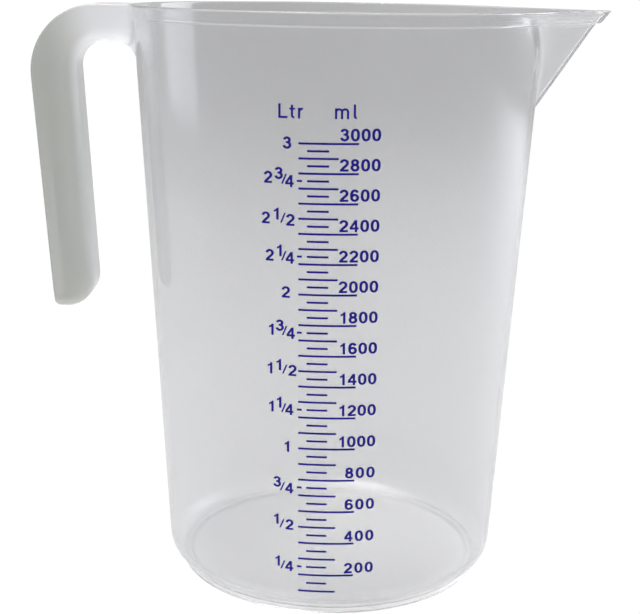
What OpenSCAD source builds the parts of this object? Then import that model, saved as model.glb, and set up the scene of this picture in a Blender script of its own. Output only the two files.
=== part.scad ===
// Three litre measuring jug, moulded in one shot from milky polypropylene,
// with an open-ended hook handle, a V-shaped pouring lip and a printed scale.
// Z is up, the vessel's axis is the Z axis and the table is z = 0.
// The pouring lip points to +X, the handle to -X and the scale faces -Y.

/* [Vessel] */
// Height from the table to the top of the rim
body_h = 234; // [225:1:245]
// Outer radius of the wall's cone, carried down to the table
base_r = 68.9; // [66:0.1:72]
// Outer radius of the wall's cone at the rim
top_r = 82.1; // [80:0.1:85]
// Thickness of the wall and of the floor
wall_t = 2; // [1.6:0.1:2.6]
// Outer radius of the bend between the wall and the floor
bend_r = 10.5; // [9:0.5:13]
// Height of the foot ring, which lifts the floor off the table
foot_h = 1.8; // [1.5:0.1:2.5]
// Outer radius of the foot ring
foot_r = 64; // [62:0.5:65]
// Width of the foot ring's flat face
foot_w = 3.2; // [2.5:0.1:4.5]

/* [Rim band] */
// Height of the thicker band round the mouth
rim_h = 5; // [4:0.5:7]
// How far the band stands out from the wall
rim_out = 1.2; // [0.8:0.1:2]

/* [Pouring lip] */
// How far below the top of the rim the lip leaves the wall
lip_drop = 40.7; // [36:0.5:44]
// Slope of the lip's keel away from the vertical, in degrees
lip_tilt = 33.5; // [30:0.5:36]
// Half of the V's opening angle, seen from above, in degrees
lip_half = 45; // [43:1:47]
// Radius of the keel
lip_r = 3.5; // [3:0.1:4.5]
// Reach of the rim band's tip from the vessel's axis
lip_reach = 109.5; // [108:0.5:112]

/* [Handle] */
// Gap for the fingers between the wall and the handle
grip_gap = 24; // [22:0.5:27]
// Depth of the grip where the arm bends down into it
grip_d = 17.9; // [16:0.1:20]
// How much the grip narrows towards its end
grip_taper = 1.2; // [0.5:0.1:2]
// Width of the handle, across the hand
grip_w = 24; // [22:0.5:26]
// Height of the grip's open end above the table
grip_low = 110.4; // [100:1:120]
// Depth of the arm that joins the grip to the wall
arm_d = 15; // [13:0.5:17]
// Thickness of the web that the fingers touch
web_t = 2.2; // [1.8:0.1:2.6]
// Thickness of each cheek
cheek_t = 2; // [1.6:0.1:2.4]

/* [Scale] */
// Thickness of the print on the wall
ink_t = 0.15; // [0.1:0.05:0.3]
// Thickness of the graduation lines
line_w = 0.75; // [0.6:0.05:0.9]
// Height of the figures
fig_h = 4.4; // [4:0.1:4.8]
// Turn of the whole print on the wall, in degrees
print_turn = 0.5; // [0:0.1:1]

/* [Hidden] */
$fn = 96;

k = (top_r - base_r) / body_h;         // the wall's taper, mm of radius per mm of height
kn = sqrt(1 + k * k);
function ro(z) = base_r + k * z;        // the wall's outer radius at a height
rim_z = body_h - rim_h;                 // underside of the rim band
bend_z = foot_h + bend_r;               // height of the bend's centre
bend_c = ro(bend_z) - bend_r * kn;      // radius of the bend's centre
lip_z = body_h - lip_drop;              // where the keel leaves the wall
// half angle of the V square to its keel
lip_half_sq = atan(tan(lip_half) / cos(lip_tilt));

milky = [0.86, 0.87, 0.88];
ink = [0.13, 0.09, 0.5];

// ---------- shared geometry ----------

function unit(v) = v / norm(v);
function reversed(p) = [for (i = [len(p) - 1 : -1 : 0]) p[i]];
// points along an arc, from one angle to another
function arc(c, r, a0, a1, n) = [for (i = [0:n]) c + r * [cos(a0 + (a1 - a0) * i / n), sin(a0 + (a1 - a0) * i / n)]];
// points along the round of radius r that replaces the corner V, from the side of A to the side of B
function rounded(V, A, B, r, n = 8) =
    let (d1 = unit(A - V), d2 = unit(B - V), th = acos(d1 * d2),
         c = V + unit(d1 + d2) * r / sin(th / 2),
         t1 = V + d1 * r / tan(th / 2) - c, t2 = V + d2 * r / tan(th / 2) - c,
         s = atan2(t1[1], t1[0]), turn = (atan2(t2[1], t2[0]) - s + 900) % 360 - 180)
    arc(c, r, s, s + turn, n);

// ---------- vessel ----------

// the wall's half section, on its outside when e is 0 and on its inside when e is the wall's thickness
function section(e, top) = concat(
    arc([bend_c, bend_z], bend_r - e, -90, -atan(k), 10),
    [[ro(top) - e * kn, top]]);

// the solid that the outside of the wall fills, used to trim what grows from it
module wall_cone() {
    cylinder(h = body_h + 1, r1 = ro(0), r2 = ro(body_h + 1));
}

module vessel_wall() {
    color(milky) difference() {
        rotate_extrude() polygon(concat(section(0, rim_z), reversed(section(wall_t, rim_z))));
        lip_prism(lip_r - wall_t);
    }
}

module floor_disc() {
    color(milky) translate([0, 0, foot_h]) cylinder(h = wall_t, r = bend_c);
}

module foot_ring() {
    color(milky) rotate_extrude() difference() {
        translate([foot_r - foot_w, 0]) square([foot_w, foot_h + bend_r / 2]);
        polygon(concat([[0, foot_h]], section(0, 60), [[0, 60]]));
    }
}

module rim_band() {
    off = wall_t * kn;
    color(milky) difference() {
        translate([0, 0, rim_z]) linear_extrude(rim_h) union() {
            circle(top_r + rim_out);
            translate([lip_reach - lip_r, 0]) vee(lip_r, lip_half, 40);
        }
        translate([0, 0, rim_z - 1])
            cylinder(h = rim_h + 2, r1 = ro(rim_z - 1) - off, r2 = ro(body_h + 1) - off);
        lip_prism(lip_r - wall_t);
    }
}

// ---------- pouring lip ----------

// a V with a round tip of radius r about the origin, reaching back by the given depth
module vee(r, half, back) {
    y = r / sin(90 - half) + back * tan(half);
    polygon(concat([[-back, -y]], arc([0, 0], r, half - 90, 90 - half, 6), [[-back, y]]));
}

// the V carried up along the sloping keel
module lip_prism(r) {
    translate([ro(lip_z), 0, lip_z]) rotate([0, lip_tilt, 0])
        translate([-lip_r, 0, -10]) linear_extrude(65) vee(r, lip_half_sq, 36);
}

module pouring_lip() {
    color(milky) difference() {
        intersection() {
            lip_prism(lip_r);
            translate([20, -60, lip_z - 15]) cube([100, 120, rim_z - lip_z + 15]);
        }
        lip_prism(lip_r - wall_t);
        wall_cone();
    }
}

// ---------- handle ----------

// outer and inner edges of the grip, as x at a height; e goes from the finger side into the web
grip_out = -(ro(body_h - 27) + grip_gap + grip_d);
function x_out(z) = grip_out + (body_h - 27 - z) * (k + grip_taper / 94);
function x_in(z, e = 0) = -(ro(z) + grip_gap + e * kn);

under = body_h - arm_d;
top_corner = [x_out(body_h), body_h];
end_corner = [x_out(grip_low), grip_low];

// the finger side in side view, from the wall under the arm, down the grip and round its open end
finger_side = let (w = [-ro(under), under], v = [x_in(under), under], e = [x_in(grip_low), grip_low],
                   root = rounded(w, [-ro(under - 40), under - 40], v, 8)) concat(
    [[-60, root[0][1]]], root, rounded(v, w, e, 10), rounded(e, v, end_corner, 11.5),
    rounded(end_corner, e, top_corner, 2));

// the same line on the hollow side of the web
hollow_side = let (u = under + web_t, l = grip_low + web_t, v = [x_in(u, web_t), u], e = [x_in(l, web_t), l]) concat(
    [[-60, u]], rounded(v, [-60, u], e, 10 + web_t), rounded(e, v, [x_out(l), l], 11.5 - web_t), [[x_out(l), l]]);

// trims a piece of the handle to the outside of the wall and of the rim band
module on_wall() {
    difference() {
        children();
        wall_cone();
        translate([0, 0, rim_z]) cylinder(h = rim_h + 1, r = top_r + rim_out);
    }
}

module handle_web() {
    color(milky) on_wall() rotate([90, 0, 0]) linear_extrude(grip_w, center = true)
        polygon(concat(finger_side, reversed(hollow_side)));
}

module cheek(y) {
    on_wall() translate([0, y, 0]) rotate([90, 0, 0]) linear_extrude(cheek_t)
        polygon(concat(hollow_side, rounded(top_corner, end_corner, [-60, body_h], 27, 14), [[-60, body_h]]));
}

module handle_front_cheek() { color(milky) cheek(-grip_w / 2 + cheek_t); }
module handle_rear_cheek() { color(milky) cheek(grip_w / 2); }

// ---------- printed scale ----------

// inner radius and height of the cone of water that the scale is drawn for
water_r = 66.9;
water_z = 5.3;
// height of the surface of a volume in millilitres
function level(ml) =
    water_z + (pow(pow(water_r, 3) + 3 * k * ml * 1000 / PI, 1 / 3) - water_r) / k;

// the left end of the lines, and the figures' right end
line_x = -12.8;
fig_x = 16.4;

// wraps a flat drawing on the front of the wall
module on_front(z1, z2) {
    intersection() {
        rotate([90, 0, 0]) linear_extrude(100)
            translate([0, 100]) rotate(print_turn) translate([0, -100]) children();
        rotate_extrude() polygon([[ro(z1), z1], [ro(z1) + ink_t, z1], [ro(z2) + ink_t, z2], [ro(z2), z2]]);
    }
}

module bar(x, ml, len) {
    translate([x, level(ml) - line_w / 2]) square([len, line_w]);
}

module graduation_lines() {
    color(ink) on_front(5, 200) {
        for (ml = [200:200:3000]) bar(line_x, ml, 21.4);
        for (ml = [100:200:2900]) bar(line_x, ml, 14.3);
        for (ml = [150:100:2950]) bar(line_x + 3.1, ml, 7.8);
        for (ml = [250:500:2750]) bar(line_x - 0.5, ml, 1.8);
    }
}

// the figures are drawn 4.4 high and 3.15 wide with strokes of 0.9
fw = 3.15;
fh = 4.4;
st = 0.9;

module slot2d(w, h) {
    union() {
        translate([w / 2, w / 2]) circle(w / 2, $fn = 32);
        translate([w / 2, h - w / 2]) circle(w / 2, $fn = 32);
        translate([0, w / 2]) square([w, h - w]);
    }
}

module ring2d(r, cx, cy, s = st) {
    translate([cx, cy]) difference() {
        circle(r, $fn = 32);
        circle(r - s, $fn = 32);
    }
}

module digit_0() {
    difference() {
        slot2d(fw, fh);
        translate([st, st]) slot2d(fw - 2 * st, fh - 2 * st);
    }
}

module digit_1() {
    polygon([[1.4, 0], [2.3, 0], [2.3, fh], [1.65, fh], [1.2, 3.8], [0.5, 3.55], [0.5, 2.85], [1.4, 3.1]]);
}

module digit_2() {
    union() {
        intersection() {
            ring2d(1.5, 1.55, 2.9);
            union() {
                translate([0, 2.9]) square([4, 2]);
                translate([1.7, 2]) square([2, 1]);
            }
        }
        polygon([[3.0, 2.6], [2.1, 2.65], [0, 0.75], [0, 0.2], [1.2, 0.6]]);
        square([3.05, 0.85]);
    }
}

module digit_3() {
    difference() {
        union() {
            ring2d(1.22, 1.5, 3.18);
            ring2d(1.45, 1.55, 1.45);
        }
        translate([-0.2, 1.55]) square([1.5, 1.45]);
    }
}

module digit_4() {
    difference() {
        polygon([[1.85, 0], [2.7, 0], [2.7, 0.95], [3.2, 0.95], [3.2, 1.7], [2.7, 1.7], [2.7, fh],
                 [1.75, fh], [0, 1.75], [0, 0.95], [1.85, 0.95]]);
        polygon([[0.85, 1.7], [1.85, 1.7], [1.85, 3.2]]);
    }
}

module digit_6() {
    union() {
        ring2d(1.45, 1.6, 1.45);
        intersection() {
            digit_0();
            union() {
                translate([-1, 1.2]) square([2, 4]);
                translate([0, 3.3]) square([4, 2]);
            }
        }
    }
}

module digit_8() {
    union() {
        ring2d(1.25, 1.58, 3.15);
        ring2d(1.42, 1.58, 1.42);
    }
}

module digit(d) {
    if (d == 0) digit_0();
    if (d == 1) digit_1();
    if (d == 2) digit_2();
    if (d == 3) digit_3();
    if (d == 4) digit_4();
    if (d == 6) digit_6();
    if (d == 8) digit_8();
}

// a figure, its centre at the given place
module figure(d, x, z) {
    translate([x, z]) scale(fig_h / fh) translate([-fw / 2, -fh / 2]) digit(d);
}

module millilitre_figures() {
    pitch4 = 3.78;
    pitch3 = 4.05;
    rise = 0.95 + fig_h / 2;
    color(ink) on_front(10, 200) {
        for (ml = [200:200:3000]) {
            p = ml < 1000 ? pitch3 : pitch4;
            z = level(ml) + rise;
            right = fig_x - fw / 2;
            figure(0, right, z);
            figure(0, right - p, z);
            figure(floor(ml / 100) % 10, right - 2 * p, z);
            if (ml >= 1000) figure(floor(ml / 1000), right - 3 * p, z);
        }
    }
}

// numerator, stroke and denominator step down to the right
module fraction(n, d, z) {
    figure(n, -20.3, z + 2.1);
    translate([-18.95, z - 1]) polygon([[0, 0], [0.7, 0], [1.75, 3.6], [1.05, 3.6]]);
    figure(d, -15.9, z - 0.1);
}

module litre_figures() {
    color(ink) on_front(10, 200) {
        for (l = [1, 2, 3]) figure(l, -17.1, level(1000 * l) + 0.2);
        for (l = [0, 1, 2]) {
            for (q = [1, 2, 3]) {
                z = level(1000 * l + 250 * q);
                if (l > 0) figure(l, -24.2, z + 0.4);
                fraction(q == 2 ? 1 : q, q == 2 ? 2 : 4, z);
            }
        }
    }
}

module unit_headings() {
    z = 197.6;
    s = 0.8;
    color(ink) on_front(190, 210) {
        // Ltr
        translate([-20.1, z]) union() {
            square([s, 5.1]);
            square([3.3, s]);
        }
        translate([-16.1, z]) union() {
            translate([0.75, 0]) square([s, 4.7]);
            translate([0, 3]) square([2.3, 0.7]);
            translate([0.75, 0]) square([1.5, 0.7]);
        }
        translate([-12.9, z]) union() {
            square([s, 3.7]);
            translate([0, 3]) square([1.7, 0.7]);
        }
        // ml
        translate([0.2, z]) union() {
            square([s, 3.7]);
            translate([2.3, 0]) square([s, 3.7]);
            translate([4.6, 0]) square([s, 3.2]);
            translate([0, 3]) square([5.0, 0.7]);
        }
        translate([6.9, z]) square([s, 5.1]);
    }
}

vessel_wall();
floor_disc();
foot_ring();
rim_band();
pouring_lip();
handle_web();
handle_front_cheek();
handle_rear_cheek();
graduation_lines();
litre_figures();
millilitre_figures();
unit_headings();
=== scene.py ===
import math

import bmesh
import bpy
import numpy as np
from mathutils import Matrix, Vector


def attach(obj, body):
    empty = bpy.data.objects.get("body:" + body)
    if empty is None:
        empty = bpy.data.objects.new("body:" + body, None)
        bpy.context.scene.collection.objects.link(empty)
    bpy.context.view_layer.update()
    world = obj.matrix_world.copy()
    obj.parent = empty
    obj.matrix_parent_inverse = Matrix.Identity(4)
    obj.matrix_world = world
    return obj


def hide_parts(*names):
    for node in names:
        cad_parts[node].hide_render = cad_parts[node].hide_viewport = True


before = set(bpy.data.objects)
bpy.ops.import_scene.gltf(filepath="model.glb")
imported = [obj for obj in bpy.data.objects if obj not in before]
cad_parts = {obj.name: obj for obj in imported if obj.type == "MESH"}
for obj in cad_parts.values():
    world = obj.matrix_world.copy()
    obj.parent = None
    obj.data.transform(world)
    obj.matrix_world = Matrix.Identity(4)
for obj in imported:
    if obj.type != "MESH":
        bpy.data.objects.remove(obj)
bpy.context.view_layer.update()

MM = 0.001
scene = bpy.context.scene

# ------------------------------------------------------------------ camera
# in the jug's own frame, in millimetres: foot on z = 0, lip towards +X, scale towards -Y
CAM_C = (-1.7, -546.8, 247.6)
CAM_YAW, CAM_PITCH, CAM_ROLL = -0.0072, 0.2473, 0.0152
CAM_LENS = 74.80


def make_camera():
    cy, sy = math.cos(CAM_YAW), math.sin(CAM_YAW)
    cp, sp = math.cos(CAM_PITCH), math.sin(CAM_PITCH)
    fwd = Vector((sy * cp, cy * cp, -sp))
    right = Vector((cy, -sy, 0.0))
    up = right.cross(fwd)
    c, s = math.cos(CAM_ROLL), math.sin(CAM_ROLL)
    x = right * c + up * s
    y = up * c - right * s
    data = bpy.data.cameras.new("camera")
    data.lens = CAM_LENS
    data.sensor_width = 36.0
    data.sensor_fit = "AUTO"
    data.clip_start, data.clip_end = 0.01, 100.0
    cam = bpy.data.objects.new("camera", data)
    scene.collection.objects.link(cam)
    m = Matrix((x, y, -fwd)).transposed().to_4x4()
    m.translation = Vector(CAM_C) * MM
    cam.matrix_world = m
    scene.camera = cam
    return cam


make_camera()

# ------------------------------------------------------------------ sizes, in millimetres
H = 234.0
BASE_R, TOP_R = 68.9, 82.1
K = (TOP_R - BASE_R) / H
WALL = 2.0
RIM_H, RIM_OUT = 5.0, 1.2
RIM_Z = H - RIM_H
BEND_R, FOOT_H, FOOT_R, FOOT_W = 10.5, 1.8, 64.0, 3.2
KN = math.sqrt(1 + K * K)


def ro(z):
    return BASE_R + K * z


BEND_Z = FOOT_H + BEND_R
BEND_C = ro(BEND_Z) - BEND_R * KN


def smooth(t):
    t = np.clip(t, 0.0, 1.0)
    return t * t * (3 - 2 * t)


def smax(a, b, k):
    h = np.clip(0.5 + 0.5 * (a - b) / k, 0.0, 1.0)
    return b + (a - b) * h + k * h * (1 - h)


# ------------------------------------------------------------------ mesh helpers
def new_piece(name, verts, faces, smooth_faces=True):
    me = bpy.data.meshes.new(name)
    me.from_pydata([tuple(v) for v in verts], [], faces)
    me.validate()
    bm = bmesh.new()
    bm.from_mesh(me)
    bmesh.ops.remove_doubles(bm, verts=bm.verts, dist=1e-7)
    bmesh.ops.recalc_face_normals(bm, faces=bm.faces)
    bm.to_mesh(me)
    bm.free()
    for p in me.polygons:
        p.use_smooth = smooth_faces
    ob = bpy.data.objects.new(name, me)
    scene.collection.objects.link(ob)
    return ob


def apply_modifiers(ob):
    dg = bpy.context.evaluated_depsgraph_get()
    me = bpy.data.meshes.new_from_object(ob.evaluated_get(dg))
    old = ob.data
    ob.modifiers.clear()
    ob.data = me
    me.name = old.name
    return ob


# ------------------------------------------------------------------ vessel, one closed skin
LIP_Z = 193.3
LIP_TAN = math.tan(math.radians(33.5))
LIP_HALF = math.radians(45.5)
LIP_TIP = 3.2


def keel(z):
    """x of the keel's outside at a height, before the rim band."""
    return ro(LIP_Z) + (z - LIP_Z) * LIP_TAN


def vee(phi, x_tip, rho):
    """Polar radius of a V with a round tip, whose tip is at x_tip."""
    c = x_tip - rho
    sa, ca = math.sin(LIP_HALF), math.cos(LIP_HALF)
    p = c * sa + rho
    a = np.abs(phi)
    a_t = math.atan2(rho * ca, c + rho * sa)
    line = p / np.sin(np.minimum(LIP_HALF + a, math.pi / 2))
    tip = c * np.cos(a) + np.sqrt(np.maximum(rho * rho - (c * np.sin(a)) ** 2, 0.0))
    return np.where(a < a_t, tip, line)


def plan(phi, z, out, inset):
    """Polar radius of the vessel's skin. out is how far the rim band adds, inset the wall's thickness on the inside."""
    body = ro(z) + out - inset * KN
    sa = math.sin(LIP_HALF)
    grow = (out - inset) / sa
    # the wall is measured square to the sloping keel, so the inside steps in a little more along x
    if inset:
        grow -= inset * 0.12
    flare = 0.9 * smooth((z - 227.0) / 7.0)
    x = keel(z) + grow + flare
    rho = max(LIP_TIP + (out - inset), 0.8)
    k = 0.7 + 3.9 * smooth((z - LIP_Z + 4) / 34.0)
    r = vee(phi, x, rho)
    return smax(np.full_like(phi, body), r, k)


def phis():
    n = 232
    t = np.linspace(-1, 1, n + 1)
    spout = np.radians(44.0) * (0.22 * t + 0.78 * t ** 3)
    # the rest, finer where the handle joins
    rest = []
    a = 44.0
    while a < 315.5:
        step = 0.75 if 164 < a < 196 else 1.25
        a += step
        rest.append(a)
    rest = [r for r in rest if r < 315.6]
    return np.concatenate([spout, np.radians(np.array(rest))])


def vessel_skin():
    phi = phis()
    n = len(phi)
    cs, sn = np.cos(phi), np.sin(phi)
    rings = []  # each is (r array, z array)

    def ring(r, z):
        rings.append((np.broadcast_to(r, (n,)).copy(), np.full(n, float(z))))

    # underside: gate mark at the centre, flat, then the foot ring
    ring(0.35, 2.15)
    ring(1.6, 2.15)
    ring(1.95, 2.0)
    ring(2.1, 1.8)
    ring(2.5, FOOT_H)
    for r in (12, 24, 36, 48, 56, 59.2):
        ring(r, FOOT_H)
    # inside of the foot ring, with its small rounds
    ri, rr = FOOT_R - FOOT_W, 0.45
    for a in np.radians([0, 30, 60, 90]):
        ring(ri - 0.6 + 0.6 * math.sin(a), FOOT_H - 0.6 + 0.6 * math.cos(a))
    for a in np.radians([0, 30, 60, 90]):
        ring(ri + 0.15 + rr - rr * math.cos(a), rr - rr * math.sin(a))
    for a in np.radians([0, 22, 45, 67, 90]):
        ring(FOOT_R - 0.7 + 0.7 * math.sin(a), 0.7 - 0.7 * math.cos(a))
    # the foot runs up into the bend with a small hollow
    ang_join = math.acos((FOOT_R - BEND_C) / (BEND_R + 0.9))
    zj = BEND_Z - (BEND_R + 0.9) * math.sin(ang_join)
    cj = (FOOT_R + 0.9, BEND_Z - math.sqrt((BEND_R + 0.9) ** 2 - (FOOT_R + 0.9 - BEND_C) ** 2))
    a1 = math.atan2(BEND_Z - cj[1], BEND_C - cj[0])
    for t in np.linspace(0, 1, 6):
        a = math.pi + (a1 - math.pi) * t
        ring(cj[0] + 0.9 * math.cos(a), cj[1] + 0.9 * math.sin(a))
    a0 = math.atan2(cj[1] - BEND_Z, cj[0] - BEND_C)
    for t in np.linspace(0, 1, 20)[1:]:
        a = a0 + (-math.atan(K) - a0) * t
        ring(BEND_C + BEND_R * math.cos(a), BEND_Z + BEND_R * math.sin(a))
    zb = rings[-1][1][0]
    # the outer wall up to the rim band
    low = list(np.linspace(zb, 186.0, 44)[1:])
    mid = list(np.linspace(186.0, 206.0, 27)[1:])
    high = list(np.linspace(206.0, RIM_Z - 0.35, 18)[1:])
    for z in low + mid + high:
        ring(plan(phi, z, 0.0, 0.0), z)
    # the step out to the band: a hollow, the flat, and a round
    for t, out in ((0.0, 0.18), (0.0, 0.5), (0.0, 0.85)):
        z = RIM_Z - 0.35 + 0.35 * (1 - (1 - out) ** 2) ** 0.5
        ring(plan(phi, z, RIM_OUT * out, 0.0), z)
    for a in np.radians([30, 60, 90]):
        z = RIM_Z + 0.35 * (1 - math.cos(a))
        ring(plan(phi, z, RIM_OUT - 0.18 * (1 - math.sin(a)), 0.0), z)
    for z in np.linspace(RIM_Z + 0.35, H - 0.7, 9)[1:]:
        ring(plan(phi, z, RIM_OUT, 0.0), z)
    # rounded top of the band
    top_out = plan(phi, H, RIM_OUT, 0.0)
    top_in = plan(phi, H, 0.0, WALL)
    for a in np.radians([22, 45, 67, 90]):
        rings.append((top_out - 0.7 * (1 - math.cos(a)), np.full(n, H - 0.7 + 0.7 * math.sin(a))))
    rings.append(((top_out - 0.7 + top_in + 0.6) / 2, np.full(n, H)))
    for a in np.radians([90, 60, 30, 0]):
        rings.append((top_in + 0.6 * (1 - math.cos(a)), np.full(n, H - 0.6 + 0.6 * math.sin(a))))
    # the inner wall down
    for z in reversed(list(np.linspace(206.0, H - 1.2, 22)[1:])):
        ring(plan(phi, z, 0.0, WALL), z)
    for z in reversed(list(np.linspace(186.0, 206.0, 27))):
        ring(plan(phi, z, 0.0, WALL), z)
    for z in reversed(list(np.linspace(zb, 186.0, 44)[:-1])):
        ring(plan(phi, z, 0.0, WALL), z)
    rb = BEND_R - WALL
    for t in np.linspace(0, 1, 18)[1:]:
        a = -math.atan(K) + (-math.pi / 2 + math.atan(K)) * t
        ring(BEND_C + rb * math.cos(a), BEND_Z + rb * math.sin(a))
    # the floor, flat at one height
    for r in (54, 48, 40, 32, 24, 16, 8, 3, 0.4):
        ring(r, FOOT_H + WALL + 0.0 * r)
    verts = []
    for r, z in rings:
        verts.append(np.stack([r * cs, r * sn, z], 1))
    verts = np.concatenate(verts) * MM
    faces = []
    for i in range(len(rings) - 1):
        a, b = i * n, (i + 1) * n
        for j in range(n):
            k = (j + 1) % n
            faces.append((a + j, a + k, b + k, b + j))
    faces.append(tuple(range(n - 1, -1, -1)))
    last = (len(rings) - 1) * n
    faces.append(tuple(last + j for j in range(n)))
    return verts, faces


# ------------------------------------------------------------------ handle
GRIP_GAP, GRIP_D, GRIP_TAPER, GRIP_LOW, ARM_D = 24.0, 17.9, 1.2, 110.4, 15.0
GRIP_OUT = -(ro(H - 27) + GRIP_GAP + GRIP_D) + 0.06
UNDER = H - ARM_D
WEB = 2.2
HALF_W, CHEEK, SIDE_R = 12.0, 2.0, 5.6
END_ROUND = (20, 40, 60, 76, 90)


def x_out(z):
    return GRIP_OUT + (H - 27 - z) * (K + GRIP_TAPER / 94)


def x_in(z):
    return -(ro(z) + GRIP_GAP)


def arc2(c, r, a0, a1, n):
    return [(c[0] + r * math.cos(a0 + (a1 - a0) * i / n), c[1] + r * math.sin(a0 + (a1 - a0) * i / n)) for i in range(n + 1)]


def corner(v, a, b, r):
    """Centre and angles of the round of radius r in the corner v between points a and b."""
    v, a, b = (np.array(p, float) for p in (v, a, b))
    d1, d2 = (a - v) / np.linalg.norm(a - v), (b - v) / np.linalg.norm(b - v)
    th = math.acos(float(d1 @ d2))
    m = (d1 + d2) / np.linalg.norm(d1 + d2)
    c = v + m * r / math.sin(th / 2)
    t1, t2 = v + d1 * r / math.tan(th / 2), v + d2 * r / math.tan(th / 2)
    a0, a1 = math.atan2(*(t1 - c)[::-1]), math.atan2(*(t2 - c)[::-1])
    turn = (a1 - a0 + 5 * math.pi) % (2 * math.pi) - math.pi
    return c, a0, a0 + turn


def handle_columns():
    """The handle's side view as columns: for each step along it, a point and a direction into the plastic on the finger
    side, on the web's hollow side and on the outer edge, and the radius of the side round."""
    cols = []
    wall_x = -ro(UNDER)
    v_in = (x_in(UNDER), UNDER)
    v_end = (x_in(GRIP_LOW), GRIP_LOW)
    e_out = (x_out(GRIP_LOW), GRIP_LOW)
    # outer edge: straight top, round corner of 27, the long back, a small round at the end
    top_c, ta0, ta1 = corner((x_out(H), H), (-60, H), e_out, 27.0)
    top_x = top_c[0] + 27 * math.cos(ta0)
    back = [top_c[0] + 27 * math.cos(ta1), top_c[1] + 27 * math.sin(ta1)]
    # finger side corner of radius 10
    ic, ia0, ia1 = corner(v_in, (-60, UNDER), v_end, 10.0)
    ix = ic[0] + 10 * math.cos(ia0)
    inner_low = [ic[0] + 10 * math.cos(ia1), ic[1] + 10 * math.sin(ia1)]
    # the lower corner of radius 11.5
    lc, la0, la1 = corner(v_end, v_in, e_out, 11.5)
    low_start = [lc[0] + 11.5 * math.cos(la0), lc[1] + 11.5 * math.sin(la0)]
    low_end = [lc[0] + 11.5 * math.cos(la1), lc[1] + 11.5 * math.sin(la1)]
    root_r = 8.0
    # 1. the root fillet, whose circle sinks 0.25 into the wall, so that it leaves the wall at an angle
    rc, ra0, ra1 = corner((wall_x, UNDER), (-ro(UNDER - 40), UNDER - 40), (-100.0, UNDER), root_r)
    rc = (rc[0] + 0.25, rc[1])
    top = H - 0.04
    run = rc[0] - wall_x

    up, down = (0.0, 1.0), (0.0, -1.0)

    def upright(pin, nrm, off):
        """A column whose upper points keep the same distance from the wall as it slopes, and whose side round stays
        within the wall."""
        out = -pin[0] - ro(pin[1])
        side_r = min(SIDE_R, (0.95 + out) / max(nrm[0], 1e-3))
        cols.append((pin, nrm, (-ro(UNDER + WEB) + off, UNDER + WEB), up, (-ro(top) + off, top), down, side_r))

    t1 = (rc[0] + root_r * math.cos(ra0), rc[1] + root_r * math.sin(ra0))
    n1 = (math.cos(ra0), math.sin(ra0))
    for off, drop in ((1.15, 1.4), (0.75, 0.9), (0.4, 0.45)):
        upright((t1[0] - 0.25 + off, t1[1] - drop), n1, off)
    for t in (0.0, 0.1, 0.2, 0.3, 0.4, 0.5, 0.6, 0.7, 0.8, 0.9, 1.0):
        a = ra0 + (ra1 - ra0) * t
        pin = (rc[0] + root_r * math.cos(a), rc[1] + root_r * math.sin(a))
        off = 0.1 + (run - 0.1) * (1 - math.cos(t * math.pi / 2))
        upright(pin, (math.cos(a), math.sin(a)), off)
    start = rc[0]
    for t in np.linspace(0, 1, 7)[1:]:
        x = start + (ix - start) * t
        # the upper points lose the wall's slope as they leave it
        xo = (-ro(top) + run) + (ix - (-ro(top) + run)) * t
        cols.append(((x, UNDER), up, (x + (xo - x) * 0.15, UNDER + WEB), up, (xo, top), down, SIDE_R))
    # 2. round the top corner
    n = 22
    first_out = cols[-1][4]
    # the outer edge's own run: straight from first_out to the corner's start, then the arc
    straight = max(first_out[0] - top_x, 0.0)
    arc_len = 27 * abs(ta1 - ta0)
    for i in range(1, n + 1):
        t = i / n
        a = ia0 + (ia1 - ia0) * t
        pin = (ic[0] + 10 * math.cos(a), ic[1] + 10 * math.sin(a))
        nrm = (math.cos(a), math.sin(a))
        pweb = (ic[0] + (10 + WEB) * math.cos(a), ic[1] + (10 + WEB) * math.sin(a))
        s = (straight + arc_len) * t
        if s < straight:
            pout, nout = (first_out[0] - s, top), down
        else:
            b = ta0 + (ta1 - ta0) * (s - straight) / arc_len
            pout = (top_c[0] + 27 * math.cos(b), min(top_c[1] + 27 * math.sin(b), top))
            nout = (-math.cos(b), -math.sin(b))
        cols.append((pin, nrm, pweb, nrm, pout, nout, SIDE_R))
    # 3. down the grip
    nv = np.array(low_start) - np.array(inner_low)
    nrm = (nv[1] / np.linalg.norm(nv), -nv[0] / np.linalg.norm(nv))
    z0o, z1o = back[1], low_start[1] + 3.0
    nback = (1.0, 0.0)
    for t in np.linspace(0, 1, 26)[1:]:
        pin = tuple(np.array(inner_low) + nv * t)
        zo = z0o + (z1o - z0o) * t
        cols.append((pin, nrm, (pin[0] + nrm[0] * WEB, pin[1] + nrm[1] * WEB), nrm, (x_out(zo), zo), nback, SIDE_R))
    # 4. round the lower corner and out along the end
    seg = 11.5 * abs(la1 - la0)
    end_x = x_out(GRIP_LOW + 2.0)
    tail = low_end[0] - (end_x + 2.2)
    total = seg + tail
    z_last = GRIP_LOW + SIDE_R + 1.2
    for i in range(1, 23):
        s = total * i / 22
        if s <= seg:
            a = la0 + (la1 - la0) * s / seg
            pin = (lc[0] + 11.5 * math.cos(a), lc[1] + 11.5 * math.sin(a))
            nrm = (-math.cos(a), -math.sin(a))
        else:
            pin = (low_end[0] - (s - seg), GRIP_LOW)
            nrm = (0.0, 1.0)
        zo = z1o + (z_last - z1o) * (s / total)
        cols.append((pin, nrm, (pin[0] + nrm[0] * WEB, pin[1] + nrm[1] * WEB), nrm, (x_out(zo), zo), nback, SIDE_R))
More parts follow.
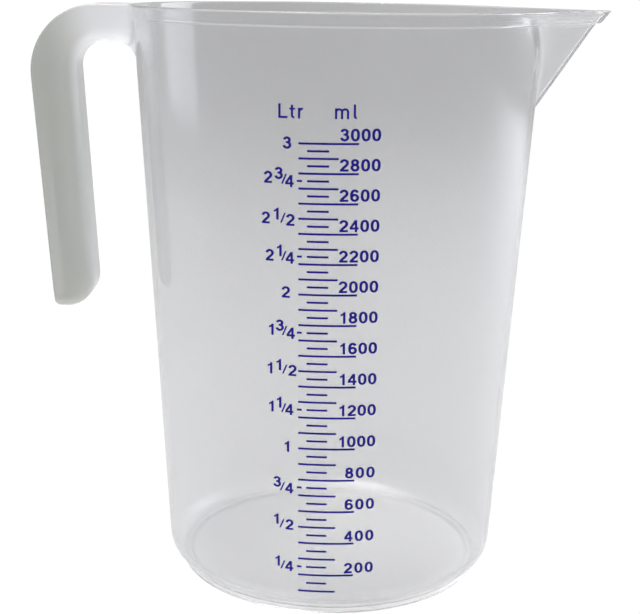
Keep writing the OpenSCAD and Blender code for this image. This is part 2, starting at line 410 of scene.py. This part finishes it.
    # 5. the small round at the open end
    for a in np.radians(END_ROUND):
        q = math.sin(a)
        pin = (end_x + 2.2 - 2.2 * q, GRIP_LOW + 1.6 - 1.6 * math.cos(a))
        pweb = (end_x + 2.2 - 2.2 * q + 0.25 * q * q, GRIP_LOW + WEB + 0.1 * q)
        zo = z_last + 0.15 * q
        cols.append((pin, up, pweb, up, (x_out(zo), zo), nback, SIDE_R - 1.6 * (1 - math.cos(a))))
    return cols


def handle_skin():
    cols = handle_columns()
    edge = 0.75
    loops = []
    # the section, as (which, share, y): from the finger face round the side to the outer edge, and back inside
    side = []
    for y in (0.0, 2.2, 4.4):
        side.append(("in", 0.0, y))
    for a in np.radians([0, 12, 24, 36, 48, 60, 72, 82, 90]):
        side.append(("in", SIDE_R * (1 - math.cos(a)), HALF_W - SIDE_R + SIDE_R * math.sin(a)))
    for t in (0.12, 0.28, 0.45, 0.62, 0.78, 0.9):
        side.append(("mix", t, HALF_W))
    for a in np.radians([0, 30, 60, 90]):
        side.append(("out", edge * (1 - math.sin(a)), HALF_W - edge * (1 - math.cos(a))))
    for a in np.radians([90, 45, 0]):
        side.append(("out", 0.5 * (1 - math.sin(a)), HALF_W - CHEEK + 0.5 * (1 - math.cos(a))))
    ri = SIDE_R - CHEEK
    for t in (0.85, 0.65, 0.45, 0.25, 0.1):
        side.append(("mix_in", t, HALF_W - CHEEK))
    for a in np.radians([90, 70, 50, 30, 15, 0]):
        side.append(("web", ri * (1 - math.cos(a)), HALF_W - CHEEK - ri + ri * math.sin(a)))
    for y in (4.0, 2.0, 0.0):
        side.append(("web", 0.0, y))
    half = side
    full = half + [(k, s, -y) for k, s, y in reversed(half) if y != 0.0]
    m = len(full)
    verts = []
    first_end = len(cols) - len(END_ROUND)
    for ci, (*points, side_r) in enumerate(cols):
        pin, nrm, pweb, nweb, pout, nout = (np.array(p, float) for p in points)
        share = side_r / SIDE_R
        # the round of the outer edge gives way to the flat end
        soft = 1.0 - 0.9 * float(np.clip((ci - first_end + 4) / (len(END_ROUND) + 3), 0, 1))
        rim = pout + nout * edge * soft
        # the cheeks thin out from both sides where they end
        thin = 0.0 if ci < first_end else 0.6 * (1 - math.cos(math.radians(END_ROUND[ci - first_end])))
        for kind, s, y in full:
            if thin and abs(y) > 4.0:
                outside = kind in ("in", "mix") or abs(y) > HALF_W - 1.3
                y = math.copysign(abs(y) + (-thin if outside else thin) * min((abs(y) - 4.0) / 3.0, 1.0), y)
            if kind == "in":
                p = pin + nrm * s * share
                # a smaller side round leaves the face wider
                flat, flat0 = HALF_W - side_r, HALF_W - SIDE_R
                ya = abs(y)
                ya = ya * flat / flat0 if ya <= flat0 else flat + (ya - flat0) * share
                y = math.copysign(ya, y)
            elif kind == "web":
                p = pweb + nweb * s
            elif kind == "out":
                p = pout + nout * s * soft
            elif kind == "mix":
                a, b = pin + nrm * side_r, rim
                p = a + (b - a) * s
            else:
                a, b = pweb + nweb * ri, rim
                p = a + (b - a) * s
            x, z = p
            # near the wall the sides spread a little and follow its curve
            d = -x - ro(z)
            r = 2.4
            yy = abs(y)
            if d < r and yy > 0.1:
                u = min(max((r - d) / r, 0.0), 1.15)
                if kind in ("in", "mix", "out") and not (kind == "out" and yy < HALF_W - 1.3):
                    yy = yy + 1.1 * u * u * (yy / HALF_W) ** 2
                elif kind in ("mix_in", "web"):
                    yy = yy - 0.6 * u * u * (yy / HALF_W) ** 2
            w = float(np.clip(1 - d / 9.0, 0, 1))
            back = ro(z) - math.sqrt(ro(z) ** 2 - yy * yy)
            x = x + back * w * w * (3 - 2 * w)
            verts.append((x, math.copysign(yy, y), z))
    faces = []
    nc = len(cols)
    for i in range(nc - 1):
        for j in range(m):
            k = (j + 1) % m
            faces.append((i * m + j, i * m + k, (i + 1) * m + k, (i + 1) * m + j))
    # caps: the section is a U, closed by strips between its outer and its inner run
    h = len(half)
    n_out = next(i for i, q in enumerate(half) if q[0] == "out" and q[2] < HALF_W - 1.0)
    for base, flip in ((0, False), ((nc - 1) * m, True)):
        outer = list(range(0, n_out + 2))
        inner = list(range(h - 1, n_out + 1, -1))
        for sign in (1, -1):
            def idx(i):
                if sign == 1 or i == 0 or i == h - 1:
                    return base + i
                return base + (m - i)
            a, b = 0, 0
            while a < len(outer) - 1 or b < len(inner) - 1:
                fa = (a + 1) / max(len(outer) - 1, 1)
                fb = (b + 1) / max(len(inner) - 1, 1)
                if b >= len(inner) - 1 or (a < len(outer) - 1 and fa <= fb):
                    f = (idx(outer[a]), idx(outer[a + 1]), idx(inner[b]))
                    a += 1
                else:
                    f = (idx(outer[a]), idx(inner[b + 1]), idx(inner[b]))
                    b += 1
                if len(set(f)) == 3:
                    faces.append(f)
    return np.array(verts) * MM, faces


vv, vf = vessel_skin()
vessel = new_piece("jug_moulding", vv, vf)
hv, hf = handle_skin()
handle = new_piece("handle_part", hv, hf)


def closed(ob):
    bm = bmesh.new()
    bm.from_mesh(ob.data)
    bad = sum(1 for e in bm.edges if len(e.link_faces) != 2)
    vol = bm.calc_volume(signed=True)
    bm.free()
    return bad, vol * 1e9


print("OPEN vessel", closed(vessel), "handle", closed(handle))

mod = vessel.modifiers.new("join", "BOOLEAN")
mod.operation = "UNION"
mod.solver = "MANIFOLD"
mod.object = handle
apply_modifiers(vessel)
bpy.data.objects.remove(handle)
print("OPEN joined", closed(vessel), len(vessel.data.polygons))
for p in vessel.data.polygons:
    p.use_smooth = True
vessel.data.set_sharp_from_angle(angle=math.radians(38))

# ------------------------------------------------------------------ printed figures
# each sign is drawn flat with a pen, in millimetres, and then wrapped on the wall
INK_T, INK_IN = 0.145, 0.05
PRINT_TURN = math.radians(0.5)
SIGN_H = 4.4


def arc_pts(cx, cy, rx, ry, a0, a1, n=14, power=2.0):
    pts = []
    for i in range(n + 1):
        a = math.radians(a0 + (a1 - a0) * i / n)
        c, s = math.cos(a), math.sin(a)
        pts.append((cx + rx * math.copysign(abs(c) ** (2 / power), c), cy + ry * math.copysign(abs(s) ** (2 / power), s)))
    return pts


def bez(p0, p1, p2, p3, n=10):
    pts = []
    for i in range(n + 1):
        t = i / n
        w = ((1 - t) ** 3, 3 * t * (1 - t) ** 2, 3 * t * t * (1 - t), t ** 3)
        pts.append(tuple(sum(k * q[j] for k, q in zip(w, (p0, p1, p2, p3))) for j in (0, 1)))
    return pts


def pen(pts, a=0.49, b=0.40, loop=False):
    """A stroke as a closed outline, or for a loop as its two edges; a is half its width across, b half its height."""
    p = np.array(pts, float)
    keep = [0] + [i for i in range(1, len(p)) if np.linalg.norm(p[i] - p[i - 1]) > 1e-6]
    p = p[keep]
    if loop and np.linalg.norm(p[0] - p[-1]) < 1e-6:
        p = p[:-1]
    if loop:
        d = np.roll(p, -1, 0) - np.roll(p, 1, 0)
    else:
        d = np.gradient(p, axis=0)
    d /= np.linalg.norm(d, axis=1)[:, None]
    off = np.stack([-d[:, 1] * a, d[:, 0] * b], 1)
    return p + off, p - off, loop


def plate(poly):
    """A filled outline as strips for prism(), given as two edges that run the same way."""
    return ("poly", [tuple(q) for q in poly])


def rect(x0, y0, x1, y1):
    return plate([(x0, y0), (x1, y0), (x1, y1), (x0, y1)])


def prism(shape, t0, t1):
    """A closed solid between two depths from a stroke or an outline."""
    if len(shape) == 2:
        p = shape[1]
        n = len(p)
        v = [(x, y, t0) for x, y in p] + [(x, y, t1) for x, y in p]
        f = [tuple(range(n))[::-1], tuple(range(n, 2 * n))]
        f += [(i, (i + 1) % n, n + (i + 1) % n, n + i) for i in range(n)]
        return v, f
    left, right, loop = shape
    n = len(left)
    v = []
    for (lx, ly), (rx, ry) in zip(left, right):
        v += [(lx, ly, t0), (rx, ry, t0), (rx, ry, t1), (lx, ly, t1)]
    f = []
    for i in range(n if loop else n - 1):
        a, b = 4 * i, 4 * ((i + 1) % n)
        for j in range(4):
            k = (j + 1) % 4
            f.append((a + j, b + j, b + k, a + k))
    if not loop:
        e = 4 * (n - 1)
        f += [(0, 1, 2, 3), (e + 3, e + 2, e + 1, e)]
    return v, f


SIGNS = {
    "0": [pen(arc_pts(1.575, 2.2, 1.12, 1.83, 0, 360, 40, 2.35), loop=True)],
    "1": [plate([(1.4, 0), (2.3, 0), (2.3, 4.4), (1.62, 4.4), (1.42, 4.05), (1.08, 3.76), (0.5, 3.52), (0.5, 2.8),
                 (0.98, 2.95), (1.4, 3.22)])],
    "2": [pen(arc_pts(1.55, 3.02, 1.1, 1.01, 176, -20, 20) + bez((2.584, 2.675), (2.35, 2.05), (1.1, 1.45), (0.55, 0.45))),
          rect(0.02, 0, 3.05, 0.76)],
    "3": [pen(arc_pts(1.5, 3.2, 0.97, 0.83, 172, -80, 22)), pen(arc_pts(1.53, 1.36, 1.13, 0.99, 80, -172, 24)),
          rect(1.1, 2.02, 1.75, 2.68)],
    "4": [rect(1.82, 0, 2.68, 4.4), rect(0.0, 0.95, 3.2, 1.7),
          plate([(0.0, 0.95), (0.9, 0.95), (0.9, 1.62), (2.2, 3.5), (2.2, 4.4), (1.78, 4.4), (0.0, 1.75)])],
    "6": [pen(arc_pts(1.62, 1.42, 1.1, 1.05, 0, 360, 36), loop=True),
          pen(arc_pts(1.62, 2.2, 1.14, 1.83, 196, 90, 18, 2.2) + arc_pts(1.62, 3.16, 0.97, 0.87, 90, 12, 8))],
    "8": [pen(arc_pts(1.575, 3.21, 0.93, 0.82, 0, 360, 32), loop=True),
          pen(arc_pts(1.575, 1.34, 1.11, 0.97, 0, 360, 36), loop=True)],
    "/": [plate([(0, 0), (0.62, 0), (2.1, 3.6), (1.48, 3.6)])],
    "L": [rect(0, 0, 0.8, 5.1), rect(0, 0, 3.3, 0.74)],
    "t": [pen([(0.95, 4.75), (0.95, 3.5), (0.95, 2.2)] + arc_pts(1.72, 1.08, 0.77, 0.72, 180, 275, 9), 0.38, 0.36),
          rect(0.0, 3.02, 2.0, 3.68)],
    "r": [rect(0, 0, 0.78, 3.75), pen(arc_pts(1.52, 2.35, 1.12, 1.05, 180, 78, 9), 0.39, 0.37)],
    "m": [rect(0, 0, 0.78, 3.75), rect(2.08, 0, 2.86, 2.75), rect(4.16, 0, 4.94, 2.75),
          pen(arc_pts(1.44, 2.55, 1.03, 0.85, 180, 0, 14), 0.39, 0.36),
          pen(arc_pts(3.52, 2.55, 1.03, 0.85, 180, 0, 14), 0.39, 0.36)],
    "l": [pen([(0.39, 5.1), (0.39, 3.0), (0.39, 1.6)] + arc_pts(1.1, 0.98, 0.71, 0.62, 180, 272, 9), 0.39, 0.36)],
}


def flat_sign(ch):
    """One sign as a closed mesh between the two ink depths, its lower left corner at the origin."""
    base = None
    for i, shape in enumerate(SIGNS[ch]):
        v, f = prism(shape, -INK_IN, INK_T + 0.0008 * i)
        ob = new_piece("sign", v, f, False)
        if base is None:
            base = ob
            continue
        mod = base.modifiers.new("join", "BOOLEAN")
        mod.operation = "UNION"
        mod.solver = "MANIFOLD"
        mod.object = ob
        apply_modifiers(base)
        bpy.data.objects.remove(ob)
    v = np.array([tuple(q.co) for q in base.data.vertices])
    f = [tuple(p.vertices) for p in base.data.polygons]
    lo_x, lo_y = v[:, 0].min(), v[:, 1].min()
    v[:, 0] -= lo_x
    v[:, 1] -= min(lo_y, 0.0) if ch not in ("/",) else lo_y
    v[:, 2] = np.where(v[:, 2] > 0, INK_T, -INK_IN)
    bpy.data.objects.remove(base)
    return v, f, v[:, 0].max()


FLAT = {ch: flat_sign(ch) for ch in SIGNS}


def on_wall(u, v, depth):
    c, s = math.cos(PRINT_TURN), math.sin(PRINT_TURN)
    run = u * c - (v - 100) * s
    z = 100 + u * s + (v - 100) * c
    r = BASE_R + K * z
    a = run / r
    return np.stack([(r + depth) * np.sin(a), -(r + depth) * np.cos(a), z], -1)


def print_piece(name, marks, node):
    """marks are (sign, where its centre is along the wall, its foot, its height over the drawn height)."""
    verts, faces, n = [], [], 0
    for ch, u, v0, size in marks:
        p, f, w = FLAT[ch]
        q = p * np.array([size, size, 1.0])
        q[:, 0] += u - w * size / 2
        q[:, 1] += v0
        verts.append(on_wall(q[:, 0], q[:, 1], q[:, 2]))
        faces += [tuple(i + n for i in t) for t in f]
        n += len(q)
    ob = new_piece(name, np.concatenate(verts) * MM, faces, False)
    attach(ob, "root")
    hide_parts(node)
    return ob


def level(ml):
    r, z0 = 66.9, 5.3
    return z0 + ((r ** 3 + 3 * K * ml * 1000 / math.pi) ** (1 / 3) - r) / K


marks = []
for ml in range(200, 3001, 200):
    text = str(ml)
    pitch = 3.78 if ml >= 1000 else 4.1
    for i, ch in enumerate(reversed(text)):
        u = 16.4 - 3.15 / 2 - i * pitch
        marks.append((ch, u + (0.12 if ch == "1" else 0.0), level(ml) + 0.95, 1.0))
ml_print = print_piece("millilitre_print", marks, "millilitre_figures")

marks = []
for ml, row in ((3000, (("3", -16.98, -2.05),)),
                (2750, (("2", -24.08, -1.16), ("3", -20.08, 0.39), ("/", -18.1, -1.2), ("4", -16.1, -2.31))),
                (2500, (("2", -25.05, -2.33), ("1", -21.05, -0.68), ("/", -18.55, -1.73), ("2", -15.8, -2.73))),
                (2250, (("2", -23.63, -2.15), ("1", -19.95, -0.2), ("/", -18.25, -1.75), ("4", -15.95, -2.8))),
                (2000, (("2", -17.53, -1.48),)),
                (1750, (("1", -23.18, -1.53), ("3", -19.88, 0.22), ("/", -18.05, -1.3), ("4", -15.68, -2.53))),
                (1500, (("1", -23.78, -1.79), ("1", -20.3, -0.19), ("/", -18.0, -1.4), ("2", -15.05, -2.09))),
                (1250, (("1", -23.35, -1.65), ("1", -20.25, 0.2), ("/", -18.45, -1.5), ("4", -16.28, -2.4))),
                (1000, (("1", -17.23, -1.73),)),
                (750, (("3", -21.18, -0.59), ("/", -19.05, -1.9), ("4", -16.35, -2.79))),
                (500, (("1", -21.58, 0.32), ("/", -19.3, -1.0), ("2", -16.3, -1.63))),
                (250, (("1", -21.1, -0.63), ("/", -19.0, -1.7), ("4", -16.4, -2.43)))):
    for ch, u, dv in row:
        marks.append((ch, u, level(ml) + dv, 0.985))
litre_print = print_piece("litre_print", marks, "litre_figures")
heading_print = print_piece("heading_print", [
    ("L", -18.45, 197.6, 1.0), ("t", -15.1, 197.6, 1.0), ("r", -12.1, 197.6, 1.0),
    ("m", 2.5, 197.6, 1.0), ("l", 7.15, 197.6, 1.0)], "unit_headings")
print("OPEN print", [closed(o) for o in (ml_print, litre_print, heading_print)])


# ------------------------------------------------------------------ materials
def nodes_of(name):
    m = bpy.data.materials.new(name)
    m.use_nodes = True
    t = m.node_tree
    t.nodes.clear()
    return m, t


# share of the light that each skin scatters, and how much more of it the handle's skins scatter
MILK, MILK_HANDLE = 0.13, 0.42
# painted shade: the grip's greyer, slightly greener milk colour stands in for the shade on it
GRIP_SHADE_GREY = (0.615, 0.625, 0.59, 1)


def milky_material():
    m, t = nodes_of("milky_polypropylene")
    N, L = t.nodes, t.links
    out = N.new("ShaderNodeOutputMaterial")
    coord = N.new("ShaderNodeTexCoord")
    # flow lines of the moulding: soft streaks running up from the gate
    wide = N.new("ShaderNodeTexNoise")
    wide.inputs["Scale"].default_value = 14.0
    wide.inputs["Detail"].default_value = 3.0
    L.new(coord.outputs["Object"], wide.inputs["Vector"])
    fine = N.new("ShaderNodeTexNoise")
    fine.inputs["Scale"].default_value = 420.0
    fine.inputs["Detail"].default_value = 2.0
    L.new(coord.outputs["Object"], fine.inputs["Vector"])
    bump = N.new("ShaderNodeBump")
    bump.inputs["Strength"].default_value = 0.05
    bump.inputs["Distance"].default_value = 0.0006
    L.new(wide.outputs["Fac"], bump.inputs["Height"])
    glass = N.new("ShaderNodeBsdfPrincipled")
    glass.inputs["Base Color"].default_value = (0.90, 0.90, 0.905, 1)
    glass.inputs["Transmission Weight"].default_value = 1.0
    glass.inputs["IOR"].default_value = 1.49
    # the foot and the bend are satin, the wall is glossy
    height = N.new("ShaderNodeSeparateXYZ")
    L.new(coord.outputs["Object"], height.inputs[0])
    satin = N.new("ShaderNodeMapRange")
    satin.interpolation_type = "SMOOTHSTEP"
    satin.inputs["From Min"].default_value = 0.003
    satin.inputs["From Max"].default_value = 0.014
    satin.inputs["To Min"].default_value = 0.26
    satin.inputs["To Max"].default_value = 0.075
    L.new(height.outputs["Z"], satin.inputs["Value"])
    L.new(satin.outputs[0], glass.inputs["Roughness"])
    L.new(bump.outputs["Normal"], glass.inputs["Normal"])
    milk = N.new("ShaderNodeBsdfPrincipled")
    milk.inputs["Base Color"].default_value = (0.74, 0.74, 0.745, 1)
    milk.inputs["Roughness"].default_value = 0.2
    milk.inputs["IOR"].default_value = 1.49
    L.new(bump.outputs["Normal"], milk.inputs["Normal"])
    trans = N.new("ShaderNodeBsdfTranslucent")
    trans.inputs["Color"].default_value = (0.74, 0.74, 0.745, 1)
    mix1 = N.new("ShaderNodeMixShader")
    mix1.inputs["Fac"].default_value = 0.5
    L.new(milk.outputs[0], mix1.inputs[1])
    L.new(trans.outputs[0], mix1.inputs[2])
    mix2 = N.new("ShaderNodeMixShader")
    # the moulding is a little milkier where it flowed last, and much more so in the thicker handle
    share = N.new("ShaderNodeMapRange")
    share.inputs["From Min"].default_value = 0.3
    share.inputs["From Max"].default_value = 0.7
    share.inputs["To Min"].default_value = MILK - 0.012
    share.inputs["To Max"].default_value = MILK + 0.012
    L.new(wide.outputs["Fac"], share.inputs["Value"])
    sep = N.new("ShaderNodeSeparateXYZ")
    L.new(coord.outputs["Object"], sep.inputs[0])
    # how far a point of the handle stands from the wall
    wall_at = N.new("ShaderNodeMath")
    wall_at.operation = "MULTIPLY_ADD"
    L.new(sep.outputs["Z"], wall_at.inputs[0])
    wall_at.inputs[1].default_value = -K
    wall_at.inputs[2].default_value = -BASE_R * MM
    off = N.new("ShaderNodeMath")
    off.operation = "SUBTRACT"
    L.new(wall_at.outputs[0], off.inputs[0])
    L.new(sep.outputs["X"], off.inputs[1])
    hand = N.new("ShaderNodeMapRange")
    hand.interpolation_type = "SMOOTHSTEP"
    hand.inputs["From Min"].default_value = 0.0005
    hand.inputs["From Max"].default_value = 0.008
    L.new(off.outputs[0], hand.inputs["Value"])
    # it is thick too where the arm's root and the band meet the wall
    root = N.new("ShaderNodeMapRange")
    root.interpolation_type = "SMOOTHSTEP"
    root.inputs["From Min"].default_value = -0.005
    root.inputs["From Max"].default_value = 0.002
    L.new(off.outputs[0], root.inputs["Value"])
    high = N.new("ShaderNodeMapRange")
    high.interpolation_type = "SMOOTHSTEP"
    high.inputs["From Min"].default_value = 0.203
    high.inputs["From Max"].default_value = 0.216
    L.new(sep.outputs["Z"], high.inputs["Value"])
    thick = N.new("ShaderNodeMath")
    thick.operation = "MULTIPLY"
    L.new(root.outputs[0], thick.inputs[0])
    L.new(high.outputs[0], thick.inputs[1])
    most = N.new("ShaderNodeMath")
    most.operation = "MAXIMUM"
    L.new(hand.outputs[0], most.inputs[0])
    L.new(thick.outputs[0], most.inputs[1])
    both = N.new("ShaderNodeMath")
    both.operation = "MULTIPLY_ADD"
    L.new(most.outputs[0], both.inputs[0])
    both.inputs[1].default_value = MILK_HANDLE
    L.new(share.outputs[0], both.inputs[2])
    # painted light and shade: the arm and the band by its root get a whiter milk colour as painted light from above,
    # and the grip gets a greyer, a little greener milk colour as painted shade, most of all its thin outer half
    grip = N.new("ShaderNodeMapRange")
    grip.interpolation_type = "SMOOTHSTEP"
    grip.inputs["From Min"].default_value = 0.014
    grip.inputs["From Max"].default_value = 0.036
    L.new(off.outputs[0], grip.inputs["Value"])
    # painted light: a whiter milk colour where the arm and band catch light from above
    arm = N.new("ShaderNodeMix")
    arm.data_type = "RGBA"
    L.new(most.outputs[0], arm.inputs[0])
    arm.inputs[6].default_value = (0.74, 0.74, 0.745, 1)
    arm.inputs[7].default_value = (0.93, 0.93, 0.94, 1)
    # painted shade on the grip, strongest on its outer half
    painted_light_tint = N.new("ShaderNodeMix")
    painted_light_tint.data_type = "RGBA"
    L.new(grip.outputs[0], painted_light_tint.inputs[0])
    L.new(arm.outputs[2], painted_light_tint.inputs[6])
    painted_light_tint.inputs[7].default_value = GRIP_SHADE_GREY
    L.new(painted_light_tint.outputs[2], milk.inputs["Base Color"])
    L.new(painted_light_tint.outputs[2], trans.inputs["Color"])
    L.new(both.outputs[0], mix2.inputs["Fac"])
    L.new(glass.outputs[0], mix2.inputs[1])
    L.new(mix1.outputs[0], mix2.inputs[2])
    # lamps shine through it
    path = N.new("ShaderNodeLightPath")
    clear = N.new("ShaderNodeBsdfTransparent")
    clear.inputs["Color"].default_value = (0.86, 0.86, 0.86, 1)
    mix3 = N.new("ShaderNodeMixShader")
    L.new(path.outputs["Is Shadow Ray"], mix3.inputs[0])
    L.new(mix2.outputs[0], mix3.inputs[1])
    L.new(clear.outputs[0], mix3.inputs[2])
    L.new(mix3.outputs[0], out.inputs["Surface"])
    return m


def ink_material():
    m, t = nodes_of("print_ink")
    N, L = t.nodes, t.links
    out = N.new("ShaderNodeOutputMaterial")
    coord = N.new("ShaderNodeTexCoord")
    noise = N.new("ShaderNodeTexNoise")
    noise.inputs["Scale"].default_value = 900.0
    L.new(coord.outputs["Object"], noise.inputs["Vector"])
    ramp = N.new("ShaderNodeValToRGB")
    ramp.color_ramp.elements[0].color = (0.005, 0.001, 0.21, 1)
    ramp.color_ramp.elements[1].color = (0.012, 0.004, 0.29, 1)
    L.new(noise.outputs["Fac"], ramp.inputs["Fac"])
    p = N.new("ShaderNodeBsdfPrincipled")
    p.inputs["Roughness"].default_value = 0.5
    p.inputs["Specular IOR Level"].default_value = 0.2
    L.new(ramp.outputs["Color"], p.inputs["Base Color"])
    L.new(p.outputs[0], out.inputs["Surface"])
    return m


MILKY = milky_material()
INK = ink_material()
vessel.data.materials.clear()
vessel.data.materials.append(MILKY)
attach(vessel, "root")
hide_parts("vessel_wall", "floor_disc", "foot_ring", "rim_band", "pouring_lip",
            "handle_web", "handle_front_cheek", "handle_rear_cheek")

for ob in (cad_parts["graduation_lines"], ml_print, litre_print, heading_print):
    ob.data.materials.clear()
    ob.data.materials.append(INK)

# ------------------------------------------------------------------ stage
# A plain pale floor in a plain even room, and two soft lamps. The camera sees the floor and the surround as plain
# white, as in a cut-out product picture. All other rays see the same floor as the lamps light it, with the jug's own
# shadow on it.
ROOM_LIGHT = 0.545
LAMPS = {  # place, target, size, power, colour
    "key": ((-0.3, -0.2, 1.35), (0, 0, 0), (0.7, 0.35), 10.5, (1.0, 0.99, 0.97)),
    "right": ((1.1, 0.6, 0.55), (0, 0, 0.1), (0.75, 0.9), 9.5, (0.90, 0.93, 1.0)),
}


def floor_material():
    m, t = nodes_of("pale_floor")
    table = t.nodes.new("ShaderNodeBsdfPrincipled")
    table.inputs["Base Color"].default_value = (0.80, 0.80, 0.80, 1)
    table.inputs["Roughness"].default_value = 0.7
    plain = t.nodes.new("ShaderNodeEmission")
    plain.inputs["Color"].default_value = (1, 1, 1, 1)
    plain.inputs["Strength"].default_value = 1.02
    path = t.nodes.new("ShaderNodeLightPath")
    mix = t.nodes.new("ShaderNodeMixShader")
    t.links.new(path.outputs["Is Camera Ray"], mix.inputs[0])
    t.links.new(table.outputs[0], mix.inputs[1])
    t.links.new(plain.outputs[0], mix.inputs[2])
    out = t.nodes.new("ShaderNodeOutputMaterial")
    t.links.new(mix.outputs[0], out.inputs["Surface"])
    return m


bpy.ops.mesh.primitive_plane_add(size=30.0, location=(0, 0, -0.00005))
floor = bpy.context.object
floor.name = "floor"
floor.data.materials.append(floor_material())

world = bpy.data.worlds.new("studio")
scene.world = world
world.use_nodes = True
wt = world.node_tree
wt.nodes.clear()
wo = wt.nodes.new("ShaderNodeOutputWorld")
# an even room, which the camera sees as plain white
room = wt.nodes.new("ShaderNodeBackground")
room.inputs["Color"].default_value = (1, 1, 1, 1)
room.inputs["Strength"].default_value = ROOM_LIGHT
white = wt.nodes.new("ShaderNodeBackground")
white.inputs["Color"].default_value = (1, 1, 1, 1)
white.inputs["Strength"].default_value = 1.02
path = wt.nodes.new("ShaderNodeLightPath")
wmix = wt.nodes.new("ShaderNodeMixShader")
wt.links.new(path.outputs["Is Camera Ray"], wmix.inputs[0])
wt.links.new(room.outputs[0], wmix.inputs[1])
wt.links.new(white.outputs[0], wmix.inputs[2])
wt.links.new(wmix.outputs[0], wo.inputs["Surface"])


def area(name, loc, target, size, power, color=(1, 1, 1)):
    d = bpy.data.lights.new(name, "AREA")
    d.shape = "RECTANGLE"
    d.size, d.size_y = size
    d.energy = power
    d.color = color
    o = bpy.data.objects.new(name, d)
    scene.collection.objects.link(o)
    o.location = loc
    o.rotation_mode = "QUATERNION"
    o.rotation_quaternion = (Vector(target) - Vector(loc)).to_track_quat("-Z", "Y")
    return o


for name, (loc, target, size, power, colour) in LAMPS.items():
    area(name, loc, target, size, power, colour)

scene.view_settings.view_transform = "Standard"
scene.view_settings.look = "None"
